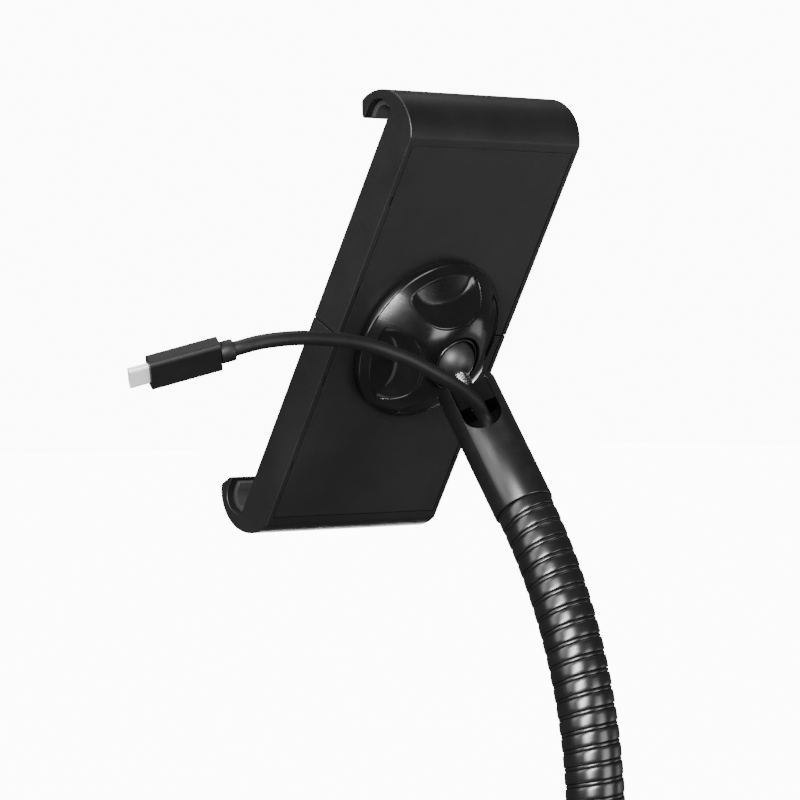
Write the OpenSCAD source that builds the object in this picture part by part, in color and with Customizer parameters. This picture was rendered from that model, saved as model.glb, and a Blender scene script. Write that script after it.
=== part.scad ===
// Spring clamp tablet holder on a ball joint, at the end of a flexible metal arm with a cable inside.
// The frame's origin is the middle of the arm's lower end, with +Z up. The tablet faces -Y.

/* [Clamp body] */
// Width of the clamp
body_w = 82.8; // [76:0.2:96]
// Length of the flat back, from the rolled end of one half to that of the other
flat_l = 149; // [140:1:180]
// Depth of the clamp, from its back face to the face that the tablet leans on
body_t = 14.2; // [14:0.1:17]
// Thickness of the side walls
side_wall = 2; // [1.6:0.1:3]
// Thickness of the wall behind the tablet
face_wall = 2.4; // [2:0.1:2.6]
// Gap between the two halves when they are closed
seam = 0.3; // [0.2:0.1:0.8]
// How far each half slides out
jaw_travel = 22; // [10:1:22]
// How far the back of the clamp leans over from upright
lean = 29.3; // [10:0.1:35]

/* [Hooks] */
// Outer radius of the rolled hook at each end
roll_r = 15.6; // [15:0.1:17]
// Depth of the roll's centre below the back face
roll_depth = 14.5; // [14:0.1:16]
// Width of the mouth that takes the tablet's edge
mouth_w = 10.4; // [9:0.1:10.8]
// Distance from the roll's centre to the floor of the mouth
mouth_reach = 10.9; // [10:0.1:11.2]
// Radius of the mouth's rounded corner
mouth_corner = 6; // [4:0.1:7]
// Length of the lip past the roll's centre, towards the tip
lip_start = 1; // [0.6:0.1:2]
// Thickness of the rubber pad in each mouth
pad_t = 2; // [1:0.1:2.4]
// Distance from the clamp's side to the end of the pad
pad_inset = 2.8; // [1:0.1:6]

/* [Back covers] */
// Thickness of a back cover
cover_t = 2.4; // [1.6:0.1:2.6]
// Width of the groove along each side of a cover
cover_groove = 0.4; // [0.2:0.1:0.8]
// Length of a snap notch
notch_l = 3.6; // [2:0.2:6]
// Distance from the seam to the inner pair of snap notches
notch_near = 18; // [12:1:30]
// Distance from the seam to the outer pair of snap notches
notch_far = 53; // [40:1:64]

/* [Lock knob] */
// Radius of the knob's skirt
knob_r = 31.3; // [30:0.1:34]
// Height of the knob's rim above the back face
knob_top = 19.5; // [19.4:0.1:19.9]
// Height of the knob's skirt above the back face
skirt_top = 3.7; // [3:0.1:4.5]
// Radius of the knob's mouth, around the ball
knob_mouth_r = 9.6; // [9.4:0.1:10.2]
// Number of finger pockets
pockets = 4; // [3:1:4]
// Half the width of a finger pocket
pocket_half_w = 15.2; // [12:0.1:15.5]
// Radius at which the pockets end, near the skirt
pocket_outer_r = 28.5; // [27:0.1:29]
// Turn of the first pocket about the knob's axis
pocket_phase = 106; // [0:1:120]

/* [Ball joint] */
// Radius of the ball
ball_r = 8.5; // [8:0.1:8.6]
// Height of the ball's centre above the back face
ball_h = 17; // [16.8:0.1:17.2]
// Thickness of the cup behind the ball
cup_t = 1.95; // [1.5:0.05:2.2]
// Radius of the threaded boss that carries the knob
boss_r = 15; // [14:0.1:15.4]
// Distance from the ball's centre to the end sleeve of the arm
ball_rise = 12.3; // [11.5:0.1:16]
// Radius of the stud's thread
stud_r = 3; // [2.5:0.1:3]

/* [Arm] */
// Length of an end sleeve
sleeve_l = 50.6; // [48:0.1:60]
// Outer radius of an end sleeve
sleeve_r = 10.75; // [10.7:0.05:12]
// Thickness of an end sleeve's wall
sleeve_wall = 2; // [1.8:0.1:2.2]
// Width of the cable slot in an end sleeve
slot_w = 14; // [10:0.5:14]
// Depth of the cable slot
slot_depth = 21.4; // [18:0.1:22]
// Turn of the upper sleeve's cable slot about the sleeve
slot_turn = 49; // [40:1:60]
// Radius of the hose over its ribs
hose_r = 10.15; // [9.8:0.05:10.4]
// Depth of the groove between two ribs
rib_depth = 0.75; // [0.4:0.05:1]
// Distance from one rib to the next
rib_pitch = 5.87; // [5:0.01:7]
// Radius of the passage through the hose
hose_bore_r = 6.4; // [5:0.1:7]
// Height at which the hose starts to bend
bend_start = 110; // [90:1:130]
// Radius of the hose's bend
bend_r = 190; // [150:5:240]
// Angle of the hose's bend
bend_angle = 35; // [20:0.5:45]
// Radius of the threaded hole in the arm's lower end
base_hole_r = 3.4; // [2.5:0.1:4.2]
// Length of the threaded plug in the arm's lower end
base_plug_l = 10; // [8:0.5:12]

/* [Rack and pinion] */
// Module of the teeth
tooth_module = 1; // [1:1:1]
// Number of teeth on the pinion
pinion_teeth = 16; // [16:1:16]
// Thickness of the racks and the pinion
rack_t = 3.6; // [3:0.1:3.7]
// Radius of the pinion's pin
pin_r = 2.5; // [2:0.1:3]
// Distance from the middle of the clamp to each spring
spring_x = 22; // [20:0.5:25]
// Outer radius of a spring
spring_r = 1.75; // [1.2:0.05:1.8]
// Distance from the seam to each spring post
spring_post = 52; // [48:1:60]

/* [Cable] */
// Diameter of the charging cable
cord_d = 5; // [3.5:0.1:5]
// Length of the small plug's moulded body
plug_l = 24.6; // [20:0.2:30]
// Width of the small plug's moulded body
plug_w = 12; // [10:0.2:14]
// Thickness of the small plug's moulded body
plug_t = 6; // [5:0.1:7]
// Length of the collar between cable and plug
collar_l = 4.9; // [3:0.1:8]
// Mean radius of the coil that stores the rest of the cable
coil_r = 26; // [22:0.5:30]

/* [Hidden] */
$fn = 64;

// Clearances
run_gap = 0.06;      // turning and threaded fits
seat_gap = 0.02;     // pieces pressed or screwed together
slide_gap = 0.2;     // sliding pieces of the clamp
knob_gap = 0.4;      // between the knob and the covers

// The arm's shape: a straight run of hose, then an arc in the plane X = 0
hose_straight = bend_start - sleeve_l;
hose_l = hose_straight + bend_r * bend_angle * PI / 180;
neck_y = -bend_r * (1 - cos(bend_angle));
neck_z = bend_start + bend_r * sin(bend_angle);
sleeve_bore_r = sleeve_r - sleeve_wall;
hose_neck_r = sleeve_bore_r - seat_gap;
hose_neck_l = 10;
ball_s = sleeve_l + ball_rise;
ball_y = neck_y - ball_s * sin(bend_angle);
ball_z = neck_z + ball_s * cos(bend_angle);
holder_y = ball_y - ball_h * cos(lean);
holder_z = ball_z + ball_h * sin(lean);

// The clamp's inside
half_w = body_w / 2;
inner_half_w = half_w - side_wall;
roll_v = flat_l / 2 - 3;
mouth_floor = roll_v + mouth_reach;
ledge_t = 2;
ledge_w = 2.4;
plate_top = -cover_t - ledge_t - slide_gap;
plate_t = 2.8;
plate_half_w = inner_half_w - 0.5;
plate_half_l = 36;
face_in = -body_t + face_wall;
rail_x = 31;
rail_w = 2;
cavity_end = roll_v - 1;
rack_floor = face_in + 0.1;
rack_back_w = 3.6;
pitch_r = tooth_module * pinion_teeth / 2;
rack_low = -(jaw_travel + 6);
rack_high = 42;
peg_r = 1.5;

// The route of the cable's visible stretch, from inside the neck sleeve to the small plug
cable_upper_points = [[0, -39.1, 225.6], [0, -41.4, 228.9], [0.3, -43.7, 232.5], [1.1, -46, 237.4],
    [2, -48, 242.5], [3.4, -49, 248.3], [6, -49.2, 252], [9.5, -48, 255], [15.5, -46.7, 258.5],
    [25, -45.8, 263.2], [33.5, -46.7, 267], [41, -48.2, 270.5], [48.5, -49.9, 273.2], [56, -51.3, 275.4],
    [64.5, -51.8, 277], [73, -51.8, 277.8], [82, -51.8, 278.2], [90, -52, 278.2], [97.5, -52.9, 277.7],
    [104.5, -54.6, 276.7], [110.4, -56.4, 275.2], [112.4, -57.45, 274.55]];
// The route of the stretch inside the hose
cable_inner_points = [[0, 0, 42], [0, 0, 60], [0, 0, 80], [0, 0, 95], [0, 0, 110], [0, -1, 129],
    [0, -3, 144], [0, -6.5, 160], [0, -11, 174], [0, -16.5, 188], [0, -23.5, 202], [0, -32, 215.5],
    [0, -39, 225.5]];
// The route from the base sleeve's slot to the coil on the floor
cable_tail_points = [[0, 0, 41.9], [0, -0.1, 38.5], [0, -1, 33.5], [0, -2.6, 27.5], [0, -4.8, 22],
    [0, -7.8, 17], [0, -11.5, 13], [0, -16.3, 9.8], [0, -22.5, 6.9], [0, -30, 4.9], [0, -38, 3.9],
    [0, -47, 3.6], [0, -57, 3.6], [0, -67, 3.6]];
// The route from the coil to the large plug
cable_lead_points = [[-57, -72, 8.6], [-57, -66, 8], [-57, -60, 6.8], [-57, -54.5, 4.9], [-57, -51, 4.2],
    [-57, -48.1, 4.2]];
plug_pos = [112.5, -57.5, 274.5];
plug_turn = [-41, 15, -28];
shell_c = [6.8, 8.3, 2.6];
coil_pos = [-28.5, -75, 1.1];
coil_half = cord_d + 0.1;
tie_t = 0.9;
tie_angle = 18;
usb_a_pos = [-57, -48, 4.2];
usb_a_body_size = [15.6, 22, 8];
usb_a_shell_size = [12, 12, 4.5];

function unit(a) = a / norm(a);
function tangent(p, i) = unit(p[min(i + 1, len(p) - 1)] - p[max(i - 1, 0)]);
function ring(c, t, side, r, n) =
    let (e1 = unit(cross(side, t)), e2 = cross(t, e1))
    [for (k = [0:n - 1]) c + r * (cos(360 * k / n) * e1 + sin(360 * k / n) * e2)];

// Places its children on the clamp: X to its right seen from behind, Y up along it, Z out of its back
module on_holder()
    translate([0, holder_y, holder_z]) rotate([90 + lean, 0, 180]) children();

// Places its children on the upper sleeve: Z along it, from its lower end towards the ball
module on_neck()
    translate([0, neck_y, neck_z]) rotate([bend_angle, 0, 0]) children();

// Draws a profile of (Y, Z) points across the clamp's width
module across(w)
    rotate([90, 0, 90]) translate([0, 0, -w / 2]) linear_extrude(w) children();

// A tube swept along a route, with a fixed direction that the route never follows
module cord_tube(points, side, sides = 10) {
    n = len(points);
    rings = [for (i = [0:n - 1]) each ring(points[i], tangent(points, i), side, cord_d / 2, sides)];
    walls = [for (i = [0:n - 2], k = [0:sides - 1])
        let (a = i * sides + k, b = i * sides + (k + 1) % sides)
        each [[a, a + sides, b], [b, a + sides, b + sides]]];
    first = [for (k = [0:sides - 1]) k];
    last = [for (k = [sides - 1:-1:0]) (n - 1) * sides + k];
    polyhedron(points = rings, faces = concat([first], walls, [last]));
}

// Sleeves and plugs of the arm

// A round sleeve with a cable slot that is open at its top end
module sleeve(turn) {
    difference() {
        cylinder(r = sleeve_r, h = sleeve_l);
        translate([0, 0, -1]) cylinder(r = sleeve_bore_r, h = sleeve_l + 2);
        rotate(turn) slot_cut(0);
    }
}

// The slot's outline, cut outwards from a distance off the sleeve's axis
module slot_cut(from) {
    floor_z = sleeve_l - slot_depth + slot_w / 2;
    translate([from, -slot_w / 2, floor_z]) cube([sleeve_r + 1 - from, slot_w, sleeve_l]);
    translate([from, 0, floor_z]) rotate([0, 90, 0]) cylinder(d = slot_w, h = sleeve_r + 1 - from);
}

module base_sleeve() color([0.11, 0.11, 0.12])
    translate([0, 0, sleeve_l]) rotate([180, 0, 0]) sleeve(90);

module base_plug() color([0.55, 0.56, 0.58])
    difference() {
        cylinder(r = sleeve_bore_r - seat_gap, h = base_plug_l);
        translate([0, 0, -1]) cylinder(r = base_hole_r, h = base_plug_l + 2);
    }

module neck_sleeve() color([0.11, 0.11, 0.12])
    on_neck() sleeve(slot_turn);

neck_plug_l = 8;
neck_plug_drop = 1.5;
module neck_plug() color([0.07, 0.07, 0.07])
    on_neck() difference() {
        translate([0, 0, sleeve_l - neck_plug_drop - neck_plug_l])
            cylinder(r = sleeve_bore_r - seat_gap, h = neck_plug_l);
        cylinder(r = stud_r + seat_gap, h = sleeve_l + 1);
        rotate(slot_turn) slot_cut(stud_r + 2);
    }

module ball_stud() color([0.75, 0.76, 0.78])
    on_neck() union() {
        translate([0, 0, ball_s]) sphere(r = ball_r);
        translate([0, 0, sleeve_l - neck_plug_drop - neck_plug_l])
            cylinder(r = stud_r, h = ball_rise + neck_plug_l);
    }

// The ribbed hose: rings along the arm, whose radius follows one helical rib
function hose_angle(s) = s < hose_straight ? 0 : min(bend_angle, (s - hose_straight) * 180 / PI / bend_r);
function hose_centre(s) =
    s < hose_straight ? [0, 0, sleeve_l + s]
    : s < hose_l ? let (a = hose_angle(s)) [0, -bend_r * (1 - cos(a)), bend_start + bend_r * sin(a)]
    : [0, neck_y - (s - hose_l) * sin(bend_angle), neck_z + (s - hose_l) * cos(bend_angle)];
function rib(phase) = let (x = phase - floor(phase)) x < 0.6 ? 1 : x < 0.7 ? 0.5 : x < 0.95 ? 0 : 0.5;
function hose_ring(s, r, ribbed) = let (a = hose_angle(s), c = hose_centre(s))
    [for (k = [0:hose_sides - 1]) let (f = 360 * k / hose_sides,
        q = r - (ribbed ? rib_depth * (1 - rib(s / rib_pitch - k / hose_sides)) : 0))
        c + [q * cos(f), q * sin(f) * cos(a), q * sin(f) * sin(a)]];
hose_sides = 18;
ribs_per_ring = 6;

module gooseneck() color([0.09, 0.09, 0.1]) {
    step = rib_pitch / ribs_per_ring;
    count = floor((hose_l - 0.4) / step);
    outer = concat([hose_ring(-hose_neck_l, hose_neck_r, false), hose_ring(0, hose_neck_r, false)],
        [for (i = [0:count]) hose_ring(0.2 + i * step, hose_r, true)],
        [hose_ring(hose_l, hose_neck_r, false), hose_ring(hose_l + hose_neck_l, hose_neck_r, false)]);
    bore_stops = 24;
    inner = [for (i = [bore_stops:-1:0])
        hose_ring(-hose_neck_l + i * (hose_l + 2 * hose_neck_l) / bore_stops, hose_bore_r, false)];
    rings = concat(outer, inner);
    n = len(rings);
    faces = [for (i = [0:n - 1], k = [0:hose_sides - 1])
        let (j = (i + 1) % n, m = (k + 1) % hose_sides,
            a = i * hose_sides + k, b = i * hose_sides + m, c = j * hose_sides + k, d = j * hose_sides + m)
        each [[a, c, b], [b, c, d]]];
    polyhedron(points = [for (r = rings) each r], faces = faces);
}

// The ball joint

module ball_cup() color([0.85, 0.85, 0.82])
    on_holder() translate([0, 0, ball_h]) intersection() {
        difference() {
            sphere(r = ball_r + run_gap + cup_t);
            sphere(r = ball_r + run_gap);
        }
        translate([0, 0, -(ball_r + run_gap + cup_t + 1)])
            cylinder(r = ball_r + cup_t, h = ball_r + run_gap + cup_t + 1 - 5.6);
    }

ring_low = ball_h - 2.1;
ring_high = knob_top - 0.2;
ring_wide_r = 12.3;
ring_top_r = 9.1;
ring_edge = 0.8;
module ball_ring() color([0.06, 0.06, 0.06])
    on_holder() difference() {
        rotate_extrude() polygon([[0, ring_low], [ring_wide_r, ring_low],
            [ring_wide_r, ring_low + ring_edge],
            [ring_top_r, ring_low + ring_edge + ring_wide_r - ring_top_r],
            [ring_top_r, ring_high], [0, ring_high]]);
        translate([0, 0, ball_h]) sphere(r = ball_r + run_gap);
    }

seat_r = ball_r + run_gap + cup_t + run_gap;
boss_top = ring_low - 0.3;
module holder_core() color([0.08, 0.08, 0.08])
    on_holder() difference() {
        union() {
            translate([-plate_half_w, -plate_half_l, plate_top - plate_t])
                cube([2 * plate_half_w, 2 * plate_half_l, plate_t]);
            translate([0, 0, plate_top - plate_t]) cylinder(r = boss_r, h = boss_top - plate_top + plate_t);
        }
        translate([0, 0, ball_h]) sphere(r = seat_r);
        translate([0, 0, plate_top - plate_t - 1]) cylinder(r = pin_r + seat_gap, h = plate_t + 2);
    }

// The lock knob: a domed cap with finger pockets, hollow where it rides on the boss and the ring
dome_out_r = 30;
dome_run = 20;
dome_edge_h = 5;
dome_bulge = 12;
function dome_h(r) = let (t = (dome_out_r - r) / dome_run)
    dome_edge_h + (knob_top - dome_edge_h) * t + dome_bulge * t * (1 - t);
dome_steps = 12;
knob_bore_r = boss_r + run_gap;
knob_shoulder = boss_top + 0.3;
cone_r = ring_wide_r + 0.2;
cone_low = ring_low + ring_edge - (cone_r - ring_wide_r) + 0.15;
core_in_r = 20;
core_out_r = 28.4;
core_h = 4;
knob_run = knob_r - 0.3 - dome_out_r + dome_run;

module knob_body()
    rotate_extrude($fn = 96) difference() {
        polygon(concat([[knob_bore_r, knob_gap], [knob_r, knob_gap], [knob_r, skirt_top]],
            [for (i = [0:dome_steps]) let (r = knob_r - 0.3 - knob_run * i / dome_steps) [r, dome_h(r)]],
            [[knob_mouth_r, knob_top], [knob_mouth_r, cone_low + cone_r - knob_mouth_r],
                [cone_r, cone_low], [cone_r, knob_shoulder], [knob_bore_r, knob_shoulder]]));
        translate([core_in_r, 0]) square([core_out_r - core_in_r, core_h]);
    }

// A finger pocket's outline, widest towards the skirt, by the rule of a rounded oval
pocket_mid_r = 24.5;
pocket_half_l = 10.5;
pocket_points = 36;
function oval(a, half, k) = half * sign(a) * pow(abs(a), 2 / k);
module pocket_outline()
    intersection() {
        translate([pocket_mid_r, 0]) polygon([for (i = [0:pocket_points - 1])
            let (a = 360 * i / pocket_points)
            [oval(cos(a), pocket_half_l, 2.4), oval(sin(a), pocket_half_w, 2.4)]]);
        circle(r = pocket_outer_r, $fn = 96);
    }

// The pocket's floor: a shelf near the skirt and a slope up to the mouth, meeting in a crease
shelf_r = 29;
shelf_h = 5.4;
crease_r = 22.3;
crease_h = 7.4;
slope_r = 13.4;
slope_h = 17.9;
above_knob = knob_top + 6.5;
module pocket_space()
    rotate_extrude($fn = 96) polygon([[shelf_r, shelf_h], [crease_r, crease_h], [slope_r, slope_h],
        [slope_r, above_knob], [shelf_r, above_knob]]);

module lock_knob() color([0.06, 0.06, 0.07])
    on_holder() difference() {
        knob_body();
        for (i = [0:pockets - 1]) intersection() {
            rotate(pocket_phase + 360 * i / pockets) translate([0, 0, dome_edge_h])
                linear_extrude(above_knob - dome_edge_h) pocket_outline();
            pocket_space();
        }
    }

// The clamp's halves, drawn for the upper one

// The mouth that takes the tablet's edge, drawn smaller by an inset on its floor and its lip side
module mouth_profile(inset) {
    low = -body_t - mouth_w + inset;
    far = mouth_floor - inset;
    r = mouth_corner - inset;
    translate([roll_v - 16, low]) square([far - r - roll_v + 16, mouth_w - inset]);
    intersection() {
        translate([far - r - 0.01, low]) square([r + 0.01, mouth_w - inset]);
        union() {
            translate([far - r - 0.01, low + r]) square([r + 0.01, mouth_w]);
            translate([far - r, low + r]) circle(r = r);
        }
    }
}

// The fillet between the face and the mouth's floor; the flat face ends where it starts
face_fillet = pad_t + 0.2;
module mouth_fillet(gap)
    translate([mouth_floor - face_fillet, -body_t - face_fillet]) difference() {
        square(face_fillet + 1);
        circle(r = face_fillet - gap);
    }

lip_tip_d = 9.8;
lip_face_d = 14.4;
lip_clear = 20;
module jaw_profile() {
    mouth_fillet(0);
    difference() {
        union() {
            translate([seam / 2, -body_t]) square([roll_v + 1 - seam / 2, body_t]);
            intersection() {
                translate([roll_v, -roll_depth]) circle(r = roll_r, $fn = 96);
                translate([roll_v, -2 * roll_r]) square([2 * roll_r, 2 * roll_r]);
            }
        }
        mouth_profile(0);
        // The lip thins towards its tip and ends past the roll's centre
        polygon([[roll_v - 2, -body_t - lip_tip_d], [roll_v + 6, -roll_depth - lip_face_d],
            [roll_v + 6, -roll_depth - lip_clear], [roll_v - 2, -roll_depth - lip_clear]]);
        translate([roll_v - 1, -body_t - lip_clear]) square([1 + lip_start, lip_clear]);
    }
}

module notches(depth)
    for (x = [-1, 1], y = [notch_near, notch_far])
        translate([x * inner_half_w - depth, y - notch_l / 2, -cover_t])
            cube([2 * depth, notch_l, cover_t + 1]);

module rack_pegs(r, past = 0)
    for (y = [rack_high - 4, rack_high - 12])
        translate([pitch_r + tooth_module * 1.25 + rack_back_w / 2, y, face_in - past])
            cylinder(r = r, h = rack_t + 0.1 + 2 * past);

module jaw() {
    difference() {
        across(body_w) jaw_profile();
        translate([-inner_half_w, -1, face_in]) cube([2 * inner_half_w, cavity_end + 1, body_t]);
        translate([-inner_half_w, -1, -cover_t]) cube([2 * inner_half_w, flat_l / 2 + 1, body_t]);
        notches(1.1);
    }
    // Ledges that carry the cover and hold the slide plate down
    for (x = [-inner_half_w, inner_half_w - ledge_w])
        translate([x, seam / 2, -cover_t - ledge_t]) cube([ledge_w, cavity_end - seam / 2, ledge_t]);
    // Rails that the slide plate runs on
    for (x = [-rail_x, rail_x])
        translate([x - rail_w / 2, seam / 2, face_in])
            cube([rail_w, cavity_end - seam / 2, plate_top - plate_t - slide_gap - face_in]);
    rack_pegs(peg_r);
    for (x = [-spring_x, spring_x])
        translate([x, spring_post, face_in]) cylinder(r = post_r, h = 2 * spring_r + 0.4);
}
post_r = 1;

module cover() {
    w = 2 * (inner_half_w - cover_groove);
    difference() {
        translate([-w / 2, seam / 2, -cover_t]) cube([w, flat_l / 2 - seam, cover_t]);
        translate([0, 0, -cover_t - 1]) cylinder(r = boss_r + 0.6, h = cover_t + 2);
    }
    for (x = [-1, 1], y = [notch_near, notch_far])
        translate([x * (w / 2 + 0.5) - 0.5, y - notch_l / 2 + 0.4, -cover_t])
            cube([1, notch_l - 0.8, cover_t / 3]);
}

module pad()
    across(body_w - 2 * pad_inset) difference() {
        intersection() {
            mouth_profile(seat_gap);
            translate([roll_v + lip_start + 1, -body_t - mouth_w]) square([2 * roll_r, mouth_w - 0.3]);
        }
        mouth_profile(pad_t);
        mouth_fillet(seat_gap);
        translate([roll_v - 16, -body_t - 1]) square([mouth_floor - pad_t - roll_v + 16, 3]);
    }

// A straight toothed bar; its pitch line lies at X = pitch_r and its teeth face the pinion
backlash = 0.12;
pressure = 20;
module rack() {
    m = tooth_module;
    p = PI * m;
    root = pitch_r + 1.25 * m;
    tip = pitch_r - m;
    half_root = p / 4 + 1.25 * m * tan(pressure) - backlash / 2;
    half_tip = p / 4 - m * tan(pressure) - backlash / 2;
    first = ceil(rack_low / p);
    last = floor((rack_high - 16) / p);
    difference() {
        translate([0, 0, rack_floor]) linear_extrude(rack_t) polygon(concat(
            [[root + rack_back_w, rack_high], [root + rack_back_w, rack_low], [root, rack_low]],
            [for (i = [first:last]) each [[root, i * p - half_root], [tip, i * p - half_tip],
                [tip, i * p + half_tip], [root, i * p + half_root]]],
            [[root, rack_high]]));
        rack_pegs(peg_r + 0.05, 1);
    }
}

// The pinion, with involute flanks; a gap faces each rack's middle tooth
function involute(base, t) =
    [base * (cos(t) + t * PI / 180 * sin(t)), base * (sin(t) - t * PI / 180 * cos(t))];
function polar(p) = [norm(p), atan2(p[1], p[0])];
module pinion() color([0.85, 0.85, 0.82]) {
    m = tooth_module;
    base = pitch_r * cos(pressure);
    tip = pitch_r + m;
    root = pitch_r - 1.25 * m;
    inv_pitch = tan(pressure) * 180 / PI - pressure;
    half = 90 / pinion_teeth - backlash / 2 / pitch_r * 180 / PI / 2 + inv_pitch;
    last_t = sqrt(pow(tip / base, 2) - 1) * 180 / PI;
    flank = [for (i = [0:4]) polar(involute(base, last_t * i / 4))];
    tooth = concat([[root, -half]], [for (q = flank) [q[0], q[1] - half]],
        [for (i = [4:-1:0]) [flank[i][0], half - flank[i][1]]], [[root, half]]);
    on_holder() translate([0, 0, rack_floor]) difference() {
        linear_extrude(rack_t) polygon([for (k = [0:pinion_teeth - 1], q = tooth)
            let (a = q[1] + 360 * (k + 0.5) / pinion_teeth) q[0] * [cos(a), sin(a)]]);
        translate([0, 0, -1]) cylinder(r = pin_r + run_gap, h = rack_t + 2);
    }
}

module pinion_pin() color([0.75, 0.76, 0.78])
    on_holder() translate([0, 0, rack_floor]) cylinder(r = pin_r, h = plate_top - rack_floor - 0.4);

// A close-wound tension spring, drawn as a tube, with a loop at each end around a post
spring_wire = 0.7;
loop_r = post_r + 0.15 + spring_wire / 2;
spring_reach = spring_post - loop_r - 1.2;
module spring(x)
    on_holder() translate([x, 0, face_in + spring_r + 0.15]) {
        rotate([90, 0, 0]) difference() {
            cylinder(r = spring_r, h = 2 * spring_reach, center = true, $fn = 24);
            cylinder(r = spring_r - spring_wire, h = 2 * spring_reach + 1, center = true, $fn = 24);
        }
        for (s = [-1, 1]) {
            translate([0, s * spring_post, 0]) rotate_extrude($fn = 32)
                translate([loop_r, 0]) circle(d = spring_wire, $fn = 16);
            translate([0, s * (spring_reach - 0.4), 0])
                cube([2 * spring_r - spring_wire, 0.8, spring_wire], center = true);
            translate([0, s * (spring_reach + 0.3), 0]) cube([spring_wire, 1.2, spring_wire], center = true);
        }
    }
module spring_left() color([0.7, 0.7, 0.72]) spring(-spring_x);
module spring_right() color([0.7, 0.7, 0.72]) spring(spring_x);

module upper_jaw() color([0.09, 0.09, 0.1]) on_holder() jaw();
module upper_cover() color([0.13, 0.13, 0.14]) on_holder() cover();
module upper_pad() color([0.05, 0.05, 0.05]) on_holder() pad();
module upper_rack() color([0.85, 0.85, 0.82]) on_holder() rack();
module lower_jaw() color([0.09, 0.09, 0.1]) on_holder() rotate(180) jaw();
module lower_cover() color([0.11, 0.11, 0.12]) on_holder() rotate(180) cover();
module lower_pad() color([0.05, 0.05, 0.05]) on_holder() rotate(180) pad();
module lower_rack() color([0.85, 0.85, 0.82]) on_holder() rotate(180) rack();

// The charging cable

module cable_inner() color([0.2, 0.2, 0.2]) cord_tube(cable_inner_points, [1, 0, 0]);
module cable_upper() color([0.2, 0.2, 0.2]) cord_tube(cable_upper_points, [0, 0.82, 0.57]);
module cable_tail() color([0.2, 0.2, 0.2]) cord_tube(cable_tail_points, [1, 0, 0]);
module cable_lead() color([0.2, 0.2, 0.2]) cord_tube(cable_lead_points, [1, 0, 0]);

// Places its children on the small plug: X along it, from the cable's end towards its tip
module on_plug() translate(plug_pos) rotate(plug_turn) children();

module cable_collar() color([0.15, 0.15, 0.15])
    on_plug() rotate([0, 90, 0]) cylinder(d = 7.4, h = collar_l - 0.05);

// A bar with rounded long edges, along X
module rounded_bar(l, t, w, r)
    rotate([90, 0, 90]) linear_extrude(l) union() {
        square([t - 2 * r, w], center = true);
        square([t, w - 2 * r], center = true);
        for (a = [-1, 1], b = [-1, 1]) translate([a * (t / 2 - r), b * (w / 2 - r)]) circle(r = r, $fn = 32);
    }

module usb_c_body() color([0.15, 0.15, 0.15])
    on_plug() translate([collar_l, 0, 0]) rounded_bar(plug_l, plug_t, plug_w, 1.6);

module usb_c_shell() color([0.8, 0.8, 0.82])
    on_plug() translate([collar_l + plug_l + seat_gap, 0, 0]) difference() {
        rounded_bar(shell_c[0], shell_c[2], shell_c[1], 1.25);
        translate([1, 0, 0]) rounded_bar(shell_c[0], shell_c[2] - 0.7, shell_c[1] - 0.7, 0.9);
    }

module cable_coil() color([0.2, 0.2, 0.2])
    translate(coil_pos) rotate_extrude()
        translate([coil_r - coil_half, 0]) square([2 * coil_half, 2 * coil_half]);

module cable_tie() color([0.05, 0.05, 0.05])
    translate(coil_pos + [0, 0, coil_half]) rotate(-90 - tie_angle / 2) rotate_extrude(angle = tie_angle)
        translate([coil_r, 0]) difference() {
            square(2 * (coil_half + tie_t + seat_gap), center = true);
            square(2 * (coil_half + seat_gap), center = true);
        }

module usb_a_body() color([0.15, 0.15, 0.15])
    translate(usb_a_pos) rotate(90)
        rounded_bar(usb_a_body_size[1], usb_a_body_size[0], usb_a_body_size[2], 1.5);

module usb_a_shell() color([0.8, 0.8, 0.82])
    translate(usb_a_pos + [0, usb_a_body_size[1] + seat_gap, 0]) rotate(90) difference() {
        rounded_bar(usb_a_shell_size[1], usb_a_shell_size[0], usb_a_shell_size[2], 0.5);
        translate([1, 0, 0])
            rounded_bar(usb_a_shell_size[1], usb_a_shell_size[0] - 0.8, usb_a_shell_size[2] - 0.8, 0.3);
    }

base_sleeve();
base_plug();
gooseneck();
neck_sleeve();
neck_plug();
ball_stud();
ball_cup();
ball_ring();
holder_core();
pinion_pin();
pinion();
spring_left();
spring_right();
lock_knob();
upper_jaw();
upper_cover();
upper_pad();
upper_rack();
lower_jaw();
lower_cover();
lower_pad();
lower_rack();
cable_inner();
cable_upper();
cable_collar();
usb_c_body();
usb_c_shell();
cable_tail();
cable_coil();
cable_tie();
cable_lead();
usb_a_body();
usb_a_shell();
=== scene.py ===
# %% [markdown]
# # A tablet holder on a flexible arm
# The holder is a spring clamp in two halves. A ball joint carries it, and a ribbed metal hose carries the ball.
# A charging cable runs inside the hose, comes out under the ball and ends in a small plug. The imported model
# already has every part at its true place and size, so this script loads it as a frame and gives each visible
# part its finished shape and surface.

# %% Load the frame
import math
import bmesh
import bpy
from mathutils import Matrix, Vector


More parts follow.
